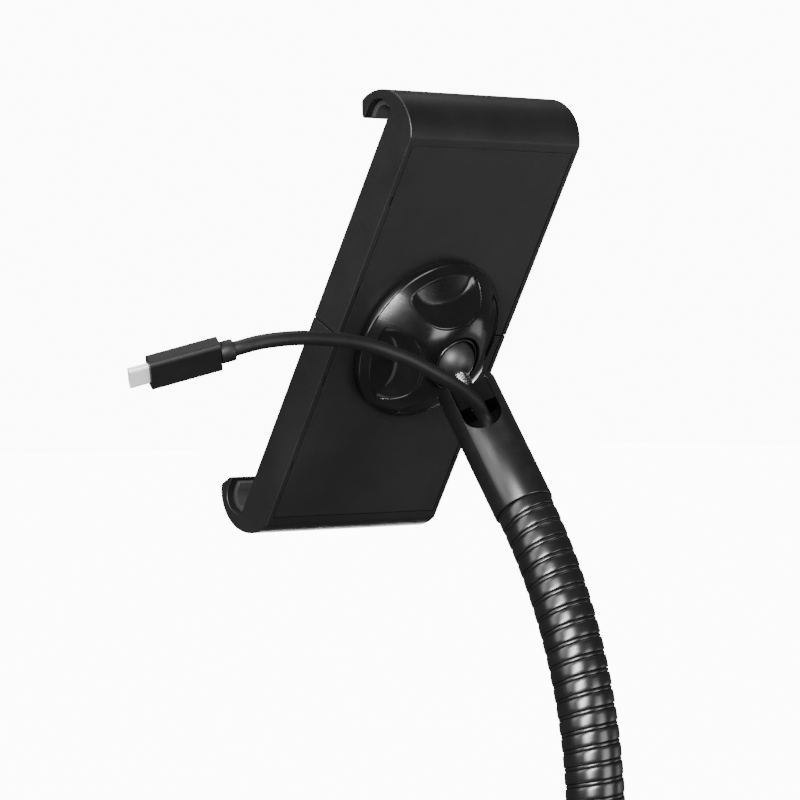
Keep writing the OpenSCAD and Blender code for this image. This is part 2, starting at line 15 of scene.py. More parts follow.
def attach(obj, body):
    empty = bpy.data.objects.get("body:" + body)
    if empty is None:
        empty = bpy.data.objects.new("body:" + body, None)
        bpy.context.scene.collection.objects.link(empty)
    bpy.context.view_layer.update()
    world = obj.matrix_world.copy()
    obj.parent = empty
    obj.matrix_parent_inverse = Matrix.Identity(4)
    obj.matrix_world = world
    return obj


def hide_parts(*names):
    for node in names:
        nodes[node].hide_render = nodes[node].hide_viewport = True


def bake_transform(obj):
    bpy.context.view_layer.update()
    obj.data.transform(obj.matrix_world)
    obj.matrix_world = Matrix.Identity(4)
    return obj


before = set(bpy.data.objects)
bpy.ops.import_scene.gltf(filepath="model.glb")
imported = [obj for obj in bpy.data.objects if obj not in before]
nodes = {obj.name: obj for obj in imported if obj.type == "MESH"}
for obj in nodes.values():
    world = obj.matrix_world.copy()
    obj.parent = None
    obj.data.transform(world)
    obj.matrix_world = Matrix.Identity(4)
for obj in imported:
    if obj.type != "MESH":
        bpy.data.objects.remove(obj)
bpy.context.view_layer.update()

# %% [markdown]
# ## The places that the parts share
# Four small frames make the modelling easy. In each of them we can work in millimetres, with simple numbers,
# and turn the result into its place at the end. The clamp's frame has X to its right seen from behind, Y up
# along it and Z out of its back. The neck's frame has Z along the upper sleeve, towards the ball. A matrix whose
# columns are the three directions does the turning, and the last column is the origin.

# %% Small frames, in millimetres
def place(x, y, z, origin):
    turn = Matrix((x, y, z)).transposed().to_4x4()
    return Matrix.Scale(0.001, 4) @ Matrix.Translation(origin) @ turn

bend_angle = math.radians(35)
bend_start, bend_radius = 110.0, 190.0
lean = math.radians(29.3)
neck_start = Vector((0, -bend_radius * (1 - math.cos(bend_angle)), bend_start + bend_radius * math.sin(bend_angle)))
along_neck = Vector((0, -math.sin(bend_angle), math.cos(bend_angle)))
ball_reach, ball_lift = 62.9, 17
ball = neck_start + ball_reach * along_neck
up_clamp = Vector((0, math.sin(lean), math.cos(lean)))
out_of_back = Vector((0, math.cos(lean), -math.sin(lean)))
clamp_middle = ball - ball_lift * out_of_back
ON_CLAMP = place(Vector((-1, 0, 0)), up_clamp, out_of_back, clamp_middle)
ON_NECK = place(Vector((1, 0, 0)), Vector((0, math.cos(bend_angle), math.sin(bend_angle))), along_neck, neck_start)
ON_ARM = Matrix.Scale(0.001, 4)
plug_turn = Matrix.Rotation(math.radians(-28), 4, "Z") @ Matrix.Rotation(math.radians(15), 4, "Y")
ON_PLUG = ON_ARM @ Matrix.Translation((112.5, -57.5, 274.5)) @ plug_turn @ Matrix.Rotation(math.radians(-41), 4, "X")
print("ball at", [round(v, 2) for v in ball], "mm")
print("middle of the clamp's back at", [round(v, 2) for v in clamp_middle], "mm")

# %% [markdown]
# ## The camera
# The photograph was taken with a long lens from behind and to the left, almost level. Its viewing angle, distance
# and focal length were found from the clamp's corners and edges. The camera's own matrix has its right, up and
# backward directions as columns, so we write it down directly instead of aiming the camera by hand. The photo's
# width and the focal length are in the photo's own pixels.

# %% Camera
azimuth, elevation, roll = (math.radians(a) for a in (137.02, 1.03, -0.10))
level = math.cos(elevation)
backward = Vector((math.sin(azimuth) * level, -math.cos(azimuth) * level, math.sin(elevation)))
level_right = Vector((math.cos(azimuth), math.sin(azimuth), 0))
level_up = backward.cross(level_right)
right = math.cos(roll) * level_right + math.sin(roll) * level_up
up = math.cos(roll) * level_up - math.sin(roll) * level_right
aim = Vector((-1.012, -85.27, 278.83))
distance, aside, below = 1300, 9.10, 22.90
stand = aim + distance * backward - aside * right - below * up
camera_data = bpy.data.cameras.new("camera")
photo_width, focal_length, film_width = 800, 3640, 36
camera_data.sensor_width = film_width
camera_data.lens = film_width * focal_length / photo_width
camera_data.clip_start, camera_data.clip_end = 0.05, 20
camera = bpy.data.objects.new("camera", camera_data)
bpy.context.collection.objects.link(camera)
camera.matrix_world = Matrix.Translation(stand / 1000) @ Matrix((right, up, backward)).transposed().to_4x4()
bpy.context.scene.camera = camera
print("camera", round(camera_data.lens, 1), "mm lens at", [round(v, 3) for v in stand / 1000])

# %% [markdown]
# ## The studio
# The photograph has a pure white background, and the holder is lit by soft panels. The floor glows and is seen only
# by the camera, and so is the bright part of the world: what the holder itself gets from the room is a weak, even
# light. Black plastic shows little but its reflections, so the panels' places decide where the highlights fall.

# %% Floor and world
room_light, backdrop_light, floor_glow = 0.11, 14, 12.6
floor_size, floor_height = 6, -0.0005
floor_mesh = bmesh.new()
bmesh.ops.create_grid(floor_mesh, x_segments=1, y_segments=1, size=floor_size,
                      matrix=Matrix.Translation((0, 0, floor_height)))
floor_data = bpy.data.meshes.new("floor")
floor_mesh.to_mesh(floor_data)
floor_mesh.free()
floor = bpy.data.objects.new("floor", floor_data)
bpy.context.collection.objects.link(floor)
world = bpy.data.worlds.new("studio")
bpy.context.scene.world = world
world.use_nodes = True
sky = world.node_tree
room = sky.nodes["Background"]
room.inputs["Color"].default_value = (1, 1, 1, 1)
room.inputs["Strength"].default_value = room_light
behind = sky.nodes.new("ShaderNodeBackground")
behind.inputs["Strength"].default_value = backdrop_light
looked_at = sky.nodes.new("ShaderNodeLightPath")
choose = sky.nodes.new("ShaderNodeMixShader")
sky.links.new(looked_at.outputs["Is Camera Ray"], choose.inputs["Fac"])
sky.links.new(room.outputs["Background"], choose.inputs[1])
sky.links.new(behind.outputs["Background"], choose.inputs[2])
sky.links.new(choose.outputs["Shader"], sky.nodes["World Output"].inputs["Surface"])
floor_paint = bpy.data.materials.new("pale_floor")
floor_paint.use_nodes = True
floor_shader = floor_paint.node_tree.nodes["Principled BSDF"]
floor_shader.inputs["Base Color"].default_value = (0.05, 0.05, 0.05, 1)
floor_shader.inputs["Emission Color"].default_value = (1, 1, 1, 1)
floor_shader.inputs["Emission Strength"].default_value = floor_glow
floor_data.materials.append(floor_paint)
floor.visible_diffuse = floor.visible_glossy = False
print("white floor and background")

# %% [markdown]
# ## Nine soft panels
# The key makes the bright patch on the knob's rim and part of the streak on the hose. The panels on the left and on
# the right make the long streaks on the sleeve and the hose, and give the dome its two bright sides. The top one
# grazes the rolled hook, and a narrow one beyond the clamp adds a little light along its far edges. The two small
# ones stand close to the clamp, so their light falls off quickly. All of them are out of the camera's sight.

# %% Soft lamps
def lamp(name, direction, distance, size, watts, tall=None, turned_by=0, spread=180):
    """A panel that looks at the clamp. The direction is in the camera's right, up and backward."""
    data = bpy.data.lights.new(name, "AREA")
    data.shape, data.size, data.size_y, data.energy = "RECTANGLE", size, tall or size, watts
    data.spread = math.radians(spread)
    toward = (right * direction[0] + up * direction[1] + backward * direction[2]).normalized()
    panel = bpy.data.objects.new(name, data)
    bpy.context.collection.objects.link(panel)
    facing = toward.to_track_quat("Z", "Y").to_matrix().to_4x4()
    facing @= Matrix.Rotation(math.radians(turned_by), 4, "Z")
    panel.matrix_world = Matrix.Translation(aim / 1000 + toward * distance) @ facing
    panel.visible_camera = False

lamp("key", (-0.17, 0.16, 0.97), 1.8, 0.34, 100, tall=1.05, turned_by=-42)
lamp("left", (-0.78, 0.26, 0.57), 1.3, 0.5, 8, tall=0.9)
lamp("high_left", (-0.58, 0.58, 0.57), 1.3, 0.45, 5)
lamp("right", (0.78, -0.12, 0.62), 1.3, 0.55, 12, tall=0.85)
lamp("far_right", (0.95, -0.18, -0.2), 1.2, 0.35, 0.8)
lamp("top", (0.0, 1.6, -0.3), 1.2, 0.9, 8)
lamp("beside", (0.45, -0.22, -0.12), 0.52, 0.3, 0.1)
lamp("bounce", (-0.12, -0.9, 0.42), 0.28, 0.1, 0.03)
lamp("under", (0.05, -0.3, -0.95), 0.6, 0.5, 0.2, tall=0.16, spread=40)
print("nine lamps")

# %% [markdown]
# ## Writing shaders as sums
# A material is a network of nodes, and its numbers run along the links. Written out node by node, even a short
# formula is long. The class below wraps one output socket and gives it Python's own operators, so that
# `0.4 + 0.1 * grain` adds the Math nodes by itself. Everything that isn't plain arithmetic comes from one method,
# which takes the node's type, its settings, and what goes into its sockets.

# %% A socket that can be added and multiplied
class Wire:
    def __init__(self, socket):
        self.socket = socket

    def node(self, kind, settings, inputs, output=0):
        made = self.socket.id_data.nodes.new(kind)
        for key, value in settings.items():
            if key == "stops":
                for stop, (at, grey) in zip(made.color_ramp.elements, value):
                    stop.position, stop.color = at, (grey, grey, grey, 1)
            else:
                setattr(made, key, value)
        for key, value in inputs.items():
            if isinstance(value, Wire):
                self.socket.id_data.links.new(value.socket, made.inputs[key])
            else:
                made.inputs[key].default_value = value
        return Wire(made.outputs[output])

    def sum(self, operation, a, b):
        return self.node("ShaderNodeMath", {"operation": operation}, {0: a, 1: b})

    def __add__(self, other):
        return self.sum("ADD", self, other)

    def __mul__(self, other):
        return self.sum("MULTIPLY", self, other)

    __radd__, __rmul__ = __add__, __mul__

    def noise(self, millimetres, detail=3, stretch=(1, 1, 1)):
        """Cloudy noise whose patches are about as large as the size given."""
        spot = self.node("ShaderNodeVectorMath", {"operation": "MULTIPLY"}, {0: self, 1: stretch})
        return self.node("ShaderNodeTexNoise", {}, {"Vector": spot, "Scale": 1000 / millimetres,
                                                    "Detail": detail, "Roughness": 0.6})

    def contrast(self, low, high):
        return self.node("ShaderNodeValToRGB", {"stops": [(low, 0), (high, 1)]}, {"Fac": self})

    def between(self, dark, light):
        """Mixes two colours by this value."""
        return self.node("ShaderNodeMix", {"data_type": "RGBA"}, {0: self, 6: (*dark, 1), 7: (*light, 1)}, 2)

    def bumps(self, height):
        """Turns this value into a bumpy normal; the height is in millimetres."""
        return self.node("ShaderNodeBump", {}, {"Height": self, "Distance": height / 1000, "Strength": 1.0})

finishes = {}

def finish_of(name, paint, **steady):
    """A material: paint gets the object's coordinates and gives what varies, the rest is set once."""
    made = bpy.data.materials.new(name)
    made.use_nodes = True
    tree = made.node_tree
    shader = tree.nodes["Principled BSDF"]
    for key, value in steady.items():
        shader.inputs[key.replace("_", " ")].default_value = value
    place_on_object = Wire(tree.nodes.new("ShaderNodeTexCoord").outputs["Object"])
    for key, value in paint(place_on_object).items():
        if isinstance(value, Wire):
            tree.links.new(value.socket, shader.inputs[key])
        else:
            shader.inputs[key].default_value = value
    finishes[name] = made

# %% [markdown]
# ## Moulded plastic
# All the plastic on the holder is black, and what tells the parts apart is how they reflect. The clamp comes from
# a finely etched mould, which leaves a grain about a third of a millimetre across, and a satin shine. The ring
# round the ball is smoother, and the knob is polished and has only a faint ripple. Handling leaves slightly duller
# patches, a few centimetres across, so the roughness drifts too.

# %% Clamp, cover and knob
def etched(grain_size, roughness, grey, depth):
    def paint(at):
        grain = at.noise(grain_size, 2)
        handled = at.noise(26, 2).contrast(0.35, 0.7)
        dust = at.noise(0.9, 4).contrast(0.60, 0.80)
        dark, light = (grey * 0.85, grey * 0.85, grey * 0.88), (grey * 1.3, grey * 1.3, grey * 1.33)
        return {"Base Color": (0.6 * handled + 0.4 * dust).between(dark, light),
                "Roughness": roughness + 0.05 * handled + 0.04 * grain,
                "Normal": grain.bumps(depth)}
    return paint

finish_of("etched_black_plastic", etched(0.34, roughness=0.36, grey=0.005, depth=0.012), IOR=1.5)
finish_of("smooth_black_plastic", etched(0.3, roughness=0.18, grey=0.005, depth=0.002), IOR=1.55)
finish_of("etched_cover_plastic", etched(0.28, roughness=0.40, grey=0.006, depth=0.010), IOR=1.5)

def polished(at):
    ripple = at.noise(3.5, 1)
    touched = at.noise(14, 3).contrast(0.4, 0.75)
    specks = at.noise(0.5, 2).contrast(0.62, 0.8)
    return {"Base Color": touched.between((0.003, 0.003, 0.0032), (0.005, 0.005, 0.0053)),
            "Roughness": 0.17 + 0.05 * touched + 0.05 * specks,
            "Normal": ripple.bumps(0.015)}

finish_of("polished_black_plastic", polished, IOR=1.52)

# %% [markdown]
# ## Coated and bare metal
# The sleeve and the hose are metal under a black coat. Sprayed coats flow a little, which leaves a fine orange
# peel, and rubbing leaves slightly paler and duller patches, under a centimetre across. The ball is blackened. The
# other steel is bright: the stud is cut on a lathe, so its fine lines run round it, and the plug shell is plated.

# %% Metal finishes
def sprayed(peel_size, roughness, grey, depth):
    def paint(at):
        peel = at.noise(peel_size, 2)
        worn = at.noise(7, 4).contrast(0.5, 0.8)
        return {"Base Color": worn.between((grey, grey, grey * 1.03), (grey * 1.6, grey * 1.6, grey * 1.65)),
                "Roughness": roughness + 0.06 * worn + 0.04 * peel,
                "Normal": peel.bumps(depth)}
    return paint

finish_of("sprayed_sleeve", sprayed(0.8, roughness=0.30, grey=0.004, depth=0.016), IOR=1.55)
finish_of("sprayed_hose", sprayed(0.9, roughness=0.27, grey=0.004, depth=0.008), IOR=1.55)

def bright_steel(at):
    lines = at.noise(0.25, 3, (0.1, 0.1, 1))
    stain = at.noise(4, 3)
    return {"Base Color": stain.between((0.50, 0.50, 0.52), (0.72, 0.72, 0.73)),
            "Roughness": 0.20 + 0.12 * lines, "Normal": lines.bumps(0.01)}

def blackened_steel(at):
    stain = at.noise(5, 3).contrast(0.35, 0.75)
    return {"Base Color": stain.between((0.006, 0.006, 0.0065), (0.014, 0.014, 0.0145)),
            "Roughness": 0.46 + 0.08 * stain, "Normal": at.noise(0.6, 2).bumps(0.008)}

def plated(at):
    brushed = at.noise(0.12, 3, (0.06, 1, 1))
    return {"Base Color": at.noise(5, 2).between((0.82, 0.82, 0.83), (0.92, 0.92, 0.93)),
            "Roughness": 0.28 + 0.12 * brushed, "Normal": brushed.bumps(0.006)}

finish_of("turned_steel", bright_steel, Metallic=1.0)
finish_of("blackened_ball", blackened_steel, IOR=1.6)
finish_of("plated_shell", plated, Metallic=0.5)
finish_of("spring_wire", bright_steel, Metallic=1.0)

# %% [markdown]
# ## Rubber, cable skin and nylon
# The soft parts scatter more light. The cable's skin is extruded, so it has faint lines along its length and a
# powdery shine. The pads are matt, with a coarser grain. The gear and racks inside are plain nylon, slightly
# milky, and the coil's tie is woven. The parts deep inside the clamp, the sleeves and the small plug get painted
# shade: an almost black colour and hardly any shine, so that they look as dark as the shade there.

# %% Soft finishes
def rubbery(grain_size, roughness, grey, depth):
    def paint(at):
        grain = at.noise(grain_size, 4)
        bloom = at.noise(9, 3).contrast(0.4, 0.8)
        return {"Base Color": bloom.between((grey, grey, grey * 1.02), (grey * 1.7, grey * 1.7, grey * 1.72)),
                "Roughness": roughness + 0.1 * grain, "Normal": grain.bumps(depth)}
    return paint

finish_of("cable_skin", rubbery(0.35, roughness=0.48, grey=0.003, depth=0.010), IOR=1.38)
finish_of("pad_rubber", rubbery(0.45, roughness=0.62, grey=0.012, depth=0.03), IOR=1.45)
# painted shade: almost black and barely shining, standing in for the shade deep inside the clamp, sleeves and plug
finish_of("painted_shade_plastic", rubbery(0.4, roughness=0.7, grey=0.002, depth=0.01), IOR=1.15)

def milky(at):
    return {"Base Color": at.noise(3, 3).between((0.62, 0.61, 0.56), (0.76, 0.75, 0.70)),
            "Roughness": 0.38 + 0.12 * at.noise(0.5, 2), "Normal": at.noise(0.3, 2).bumps(0.008)}

def woven(at):
    rows = at.node("ShaderNodeTexWave", {"bands_direction": "Z"},
                   {"Vector": at, "Scale": 320, "Distortion": 1.5, "Detail": 2, "Detail Scale": 3})
    return {"Base Color": rows.between((0.012, 0.012, 0.012), (0.035, 0.035, 0.035)),
            "Roughness": 0.75, "Normal": rows.bumps(0.05)}

finish_of("milky_nylon", milky, IOR=1.5)
finish_of("woven_tie", woven)
print(len(finishes), "finishes")

# %% [markdown]
# ## The charging cable
# The real cable is one soft-skinned lead, 5 mm thick. It leaves the upper sleeve through a rounded slot, passes in
# front of the knob and ends in the small plug. Its other end leaves the lower sleeve, and what the photograph
# doesn't show is wound into a coil beside the arm, with the large plug next to it. A curve object suits a cable:
# it has one centreline, a round section and a length that can be measured. The handles are automatic, so the
# curve runs smoothly through every point. The coil is a rule: an angle that grows, while the radius and the
# height step from lane to lane, each step done before the cable comes round to its own start.

# %% Cable routes
upper_route = [(0, -39.1, 225.6), (0, -41.4, 228.9), (0.3, -43.7, 232.5), (1.1, -46, 237.4), (2, -48, 242.5),
    (3.4, -49, 248.3), (6, -49.2, 252), (9.5, -48, 255), (15.5, -46.7, 258.5), (25, -45.8, 263.2), (33.5, -46.7, 267),
    (41, -48.2, 270.5), (48.5, -49.9, 273.2), (56, -51.3, 275.4), (64.5, -51.8, 277), (73, -51.8, 277.8),
    (82, -51.8, 278.2), (90, -52, 278.2), (97.5, -52.9, 277.7), (104.5, -54.6, 276.7), (110.4, -56.4, 275.2),
    (112.4, -57.45, 274.55)]
tail_route = [(0, 0, 41.9), (0, -0.1, 38.5), (0, -1, 33.5), (0, -2.6, 27.5), (0, -4.8, 22), (0, -7.8, 17),
    (0, -11.5, 13), (0, -16.3, 9.8), (0, -22.5, 6.9), (0, -30, 4.9), (0, -38, 3.9), (0, -47, 3.65), (0, -57, 3.65),
    (0, -66, 3.65)]
lead_route = [(-57, -66, 8.2), (-57, -60, 6.8), (-57, -54.5, 4.9), (-57, -51, 4.2), (-57, -48.1, 4.2)]
cable_width = 5.0
coil_middle = Vector((-28.5, -75, 0))
inner_lane, outer_lane, low_lane, high_lane = 23.45, 28.55, 3.65, 8.75

def eased(value, start, end):
    t = min(1, max(0, (value - start) / (end - start)))
    return t * t * (3 - 2 * t)

def coil_point(turned):
    radius = outer_lane - (outer_lane - inner_lane) * (eased(turned, 300, 360) - eased(turned, 1020, 1080))
    height = low_lane + (high_lane - low_lane) * eased(turned, 640, 720)
    a = math.radians(-turned)
    return coil_middle + Vector((radius * math.cos(a), radius * math.sin(a), height))

lower_route = tail_route + [coil_point(t) for t in range(0, 1261, 20)] + lead_route

# %% Cable tubes
def cable(name, route, body, stands_for):
    """Draws the curve through the route, measures it, and keeps it as a mesh tube."""
    curve = bpy.data.curves.new(name, "CURVE")
    curve.dimensions = "3D"
    curve.bevel_depth = cable_width / 2000
    curve.bevel_resolution = 5
    curve.resolution_u = 6
    curve.use_fill_caps = True
    spline = curve.splines.new("BEZIER")
    spline.bezier_points.add(len(route) - 1)
    for point, at in zip(spline.bezier_points, route):
        point.co = Vector(at) / 1000
        point.handle_left_type = point.handle_right_type = "AUTO"
    drawing = bpy.data.objects.new(name + "_curve", curve)
    bpy.context.collection.objects.link(drawing)
    length = spline.calc_length()
    data = bpy.data.meshes.new_from_object(drawing.evaluated_get(bpy.context.evaluated_depsgraph_get()))
    bpy.data.objects.remove(drawing)
    tube = bmesh.new()
    tube.from_mesh(data)
    bmesh.ops.remove_doubles(tube, verts=tube.verts[:], dist=1e-6)
    bmesh.ops.recalc_face_normals(tube, faces=tube.faces[:])
    for face in tube.faces:
        face.smooth = True
    tube.to_mesh(data)
    tube.free()
    data.materials.clear()
    data.materials.append(finishes["cable_skin"])
    data.set_sharp_from_angle(angle=math.radians(50))
    made = bpy.data.objects.new(name, data)
    bpy.context.collection.objects.link(made)
    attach(made, body)
    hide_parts(*stands_for)
    print(name, "is", round(length, 3), "m long")
    return made, length, [tuple(Vector(at) / 1000) for at in route]

upper_cable, upper_length, upper_path = cable("charging_cable_upper", upper_route, "head", ["cable_upper"])
lower_cable, lower_length, lower_path = cable("charging_cable_lower", lower_route, "arm",
                                              ["cable_tail", "cable_coil", "cable_lead"])

# %% [markdown]
# ## Modelling helpers
# Most parts are one of two kinds. A turned part is a profile that is spun round an axis, as on a lathe. A drawn
# part is an outline that is pushed along an axis, as an extrusion is. Both start from a few vertices in a bmesh.
# Real edges are never razor sharp, and the thin bright line that a small rounding catches is much of what makes
# a black part readable, so every part gets its edges bevelled. Holes are cut with a Boolean modifier whose result
# is read back into the bmesh. Smooth shading would let a rounded edge pull at the flat face beside it, so on the
# flat parts the normals at each corner are weighed by the faces' areas, and the large face wins.

# %% Start shapes
def arc(cx, cy, radius, start, end, steps):
    return [(cx + radius * math.cos(math.radians(start + (end - start) * i / steps)),
             cy + radius * math.sin(math.radians(start + (end - start) * i / steps))) for i in range(steps + 1)]

def drawn(outline, low, high, axis="Z"):
    """Pushes a closed outline from low to high along an axis."""
    mesh = bmesh.new()
    turn = {"Z": lambda a, b, h: (a, b, h), "X": lambda a, b, h: (h, a, b), "Y": lambda a, b, h: (a, h, b)}[axis]
    face = mesh.faces.new([mesh.verts.new(turn(a, b, low)) for a, b in outline])
    pushed = bmesh.ops.extrude_face_region(mesh, geom=[face])["geom"]
    step = Vector(turn(0, 0, high - low))
    bmesh.ops.translate(mesh, verts=[v for v in pushed if isinstance(v, bmesh.types.BMVert)], vec=step)
    bmesh.ops.recalc_face_normals(mesh, faces=mesh.faces[:])
    return mesh

def turned(profile, steps=96, closed=True):
    """Spins a profile of (radius, height) points round Z."""
    mesh = bmesh.new()
    row = [mesh.verts.new((r, 0, z)) for r, z in profile]
    pairs = list(zip(row, row[1:])) + ([(row[-1], row[0])] if closed else [])
    edges = [mesh.edges.new(pair) for pair in pairs]
    bmesh.ops.spin(mesh, geom=row + edges, cent=(0, 0, 0), axis=(0, 0, 1), angle=math.tau, steps=steps,
                   use_merge=True)
    bmesh.ops.remove_doubles(mesh, verts=mesh.verts[:], dist=0.0005)
    bmesh.ops.recalc_face_normals(mesh, faces=mesh.faces[:])
    return mesh

def block(low, high):
    middle = (Vector(low) + Vector(high)) / 2
    size = Vector(high) - Vector(low)
    mesh = bmesh.new()
    bmesh.ops.create_cube(mesh, size=1, matrix=Matrix.Translation(middle) @ Matrix.Diagonal((*size, 1)))
    return mesh

# %% Turn, round, cut and join
def swing(mesh, degrees, axis="Z"):
    turn = Matrix.Rotation(math.radians(degrees), 3, axis)
    bmesh.ops.rotate(mesh, verts=mesh.verts[:], cent=(0, 0, 0), matrix=turn)
    return mesh

def soften(mesh, width, segments=3, sharper_than=30, where=lambda middle: True):
    """Rounds the edges that are sharper than an angle, and whose middle passes a test."""
    edges = [e for e in mesh.edges if len(e.link_faces) == 2
             and e.calc_face_angle(0) > math.radians(sharper_than)
             and where((e.verts[0].co + e.verts[1].co) / 2)]
    bmesh.ops.bevel(mesh, geom=edges, offset=width, offset_type="OFFSET", affect="EDGES",
                    segments=segments, profile=0.5, material=-1, clamp_overlap=True)
    return mesh

def join(mesh, *others):
    for other in others:
        spare = bpy.data.meshes.new("spare")
        other.to_mesh(spare)
        other.free()
        mesh.from_mesh(spare)
        bpy.data.meshes.remove(spare)
    return mesh

def cut(mesh, *cutters):
    """Cuts the other shapes out of a shape."""
    shapes = []
    for name, shape in [("cut_from", mesh), ("cutter", join(bmesh.new(), *cutters))]:
        data = bpy.data.meshes.new(name)
        shape.to_mesh(data)
        shape.free()
        shapes.append(bpy.data.objects.new(name, data))
        bpy.context.collection.objects.link(shapes[-1])
    modifier = shapes[0].modifiers.new("cut", "BOOLEAN")
    modifier.operation, modifier.solver, modifier.object = "DIFFERENCE", "EXACT", shapes[1]
    modifier.use_self = True
    seen = shapes[0].evaluated_get(bpy.context.evaluated_depsgraph_get())
    result = bmesh.new()
    result.from_mesh(seen.to_mesh())
    seen.to_mesh_clear()
    for shape in shapes:
        data = shape.data
        bpy.data.objects.remove(shape)
        bpy.data.meshes.remove(data)
    return result

def keep_flat(data, sharp):
    """Weighs the normals at each corner by face area."""
    around = [[] for _ in data.vertices]
    for face in data.polygons:
        for corner in face.vertices:
            around[corner].append(face.index)
    normals = [face.normal.copy() for face in data.polygons]
    areas = [face.area for face in data.polygons]
    least = math.cos(math.radians(sharp))
    weighed = []
    for face in data.polygons:
        own = normals[face.index]
        for corner in face.vertices:
            near = [areas[k] * normals[k] for k in around[corner] if own.dot(normals[k]) > least]
            weighed.append(sum(near, Vector()).normalized() if near else own)
    data.normals_split_custom_set(weighed)

def piece(name, mesh, where, body, stands_for=(), finish="etched_black_plastic", sharp=38, flat=False):
    """Makes the object in its place, and hands it to the frame."""
    bmesh.ops.transform(mesh, matrix=where, verts=mesh.verts[:])
    for face in mesh.faces:
        face.smooth = True
    data = bpy.data.meshes.new(name)
    mesh.to_mesh(data)
    mesh.free()
    data.set_sharp_from_angle(angle=math.radians(sharp))
    if flat:
        keep_flat(data, sharp)
    made = bpy.data.objects.new(name, data)
    bpy.context.collection.objects.link(made)
    if body:
        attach(made, body)
    if stands_for:
        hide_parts(*stands_for)
    data.materials.append(finishes[finish])
    print(name, "has", len(data.polygons), "faces")
    return made

# %% [markdown]
# ## The clamp's halves
# Each half is a shallow moulded tray that ends in a thick rolled hook. Seen from the side it is one outline, so we
# draw that outline, push it across the clamp's width and round its edges while it is still a simple solid.
# Only then is the tray's inside cut away, with the recess for the cover and the small snap notches. Two ledges
# carry the cover and two rails run on the slide plate. The lower half is the same moulding turned half a turn about
# the ball's axis.

# %% A clamp half
half_width, inner_half_width = 41.4, 39.4
roll_middle, roll_depth, roll_radius = 71.5, -14.5, 15.6
mouth_floor, mouth_low, mouth_corner, mouth_fillet = 82.4, -24.6, 6.0, 2.2
face_depth, tray_floor, tray_end, recess_end, cover_thick, seam = -14.2, -11.8, 70.5, 74.5, 2.4, 0.15
ledge_side, rail_side, wall_side, snap_places, above = 38.4, 31, 39.1, (18, 53), 5

def half_outline():
    roll = arc(roll_middle, roll_depth, roll_radius, math.degrees(math.asin(-roll_depth / roll_radius)), -63, 44)
    corner = arc(mouth_floor - mouth_corner, mouth_low + mouth_corner, mouth_corner, -90, 0, 14)
    fillet = arc(mouth_floor - mouth_fillet, face_depth - mouth_fillet, mouth_fillet, 0, 90, 8)
    lip = [(77.75, -28.72), (76.95, -28.56), (73.2, -26.27), (72.65, -25.75), (72.5, -25.2), (72.5, mouth_low)]
    return [(seam, face_depth), (seam, 0)] + roll + lip + corner + fillet

def clamp_half():
    solid = soften(drawn(half_outline(), -half_width, half_width, "X"), 0.4)
    tray = block((-inner_half_width, -1, tray_floor), (inner_half_width, tray_end, above))
    recess = block((-inner_half_width, -1, -cover_thick), (inner_half_width, recess_end, above))
    notches = [block((side * inner_half_width - 0.5, y - 1.8, -cover_thick),
                     (side * inner_half_width + 0.5, y + 1.8, above)) for side in (-1, 1) for y in snap_places]
    solid = cut(cut(solid, tray), recess, *notches)
    ledges = [block((side * ledge_side - 1, seam, -4.4), (side * ledge_side + 1, tray_end, -cover_thick))
              for side in (-1, 1)]
    rails = [block((side * rail_side - 1, seam, tray_floor), (side * rail_side + 1, tray_end, -7.6))
             for side in (-1, 1)]
    return join(solid, *ledges, *rails)

half_turn = Matrix.Rotation(math.pi, 4, "Z")
halves = (("upper", ON_CLAMP), ("lower", ON_CLAMP @ half_turn))
for half, where in halves:
    piece(half + "_half_body", clamp_half(), where, half + "_half", [half + "_jaw"], flat=True)

# %% [markdown]
# ## The back covers
# A flat cover snaps into the back of each half, flush with its side walls, with a thin dark groove around it.
# Its end at the seam has a half round notch for the knob's threaded boss. The outline with that arc in it is
# drawn once and pushed down by the cover's thickness.

# %% A cover
def cover():
    wide, tall, notch_radius = 39.0, 74.35, 15.6
    notch = [(x, max(y, seam)) for x, y in arc(0, 0, notch_radius, 1, 179, 40)]
    outline = [(-wide, seam), (-wide, tall), (wide, tall), (wide, seam)] + notch
    plate = soften(drawn(outline, -cover_thick, 0), 0.25, segments=2)
    tabs = [block((side * wall_side - 0.3, y - 1.4, -cover_thick), (side * wall_side + 0.3, y + 1.4, -1.6))
            for side in (-1, 1) for y in snap_places]
    return join(plate, *tabs)

for half, where in halves:
    piece(half + "_back_cover", cover(), where, half + "_half", [half + "_cover"], "etched_cover_plastic", flat=True)

# %% [markdown]
# ## The rubber pads
# A soft pad lines each hook where the tablet's edge goes in. Its section is the letter J: a flat leg along the
# lip, a rounded corner and a short leg up the floor of the mouth. Its face follows the small fillet at the mouth's
# edge.

# %% A pad
def pad():
    pad_half_width, thick, lip_end = 38.6, 2, 73.5
    centre = (mouth_floor - mouth_corner, mouth_low + mouth_corner)
    outer = arc(*centre, mouth_corner - 0.02, -90, 0, 12)
    inner = arc(*centre, mouth_corner - thick, 0, -90, 12)
    fillet = arc(mouth_floor - mouth_fillet, face_depth - mouth_fillet, mouth_fillet - 0.02, 0, 60, 6)
    outline = [(lip_end, mouth_low + 0.02)] + outer + fillet + [(80.4, -14.5)] + inner
    outline.append((lip_end, mouth_low + thick))
    return soften(drawn(outline, -pad_half_width, pad_half_width, "X"), 0.3, segments=2, sharper_than=40)

for half, where in halves:
    piece(half + "_hook_pad", pad(), where, half + "_half", [half + "_pad"], "pad_rubber")

# %% [markdown]
# ## The lock knob
# The knob is a glossy dome with four finger pockets, a mouth for the ball and a thin skirt. The pockets' rims are
# crisp, so the mesh has to follow them. We work on one quarter with one pocket. The pocket's oval outline is a ring
# of vertices. More rings run inwards down to the pocket's floor and outwards to the edge of the quarter, a height
# rule lifts each of them onto the floor or the dome, and the rings are bridged. Four quarters make the knob.

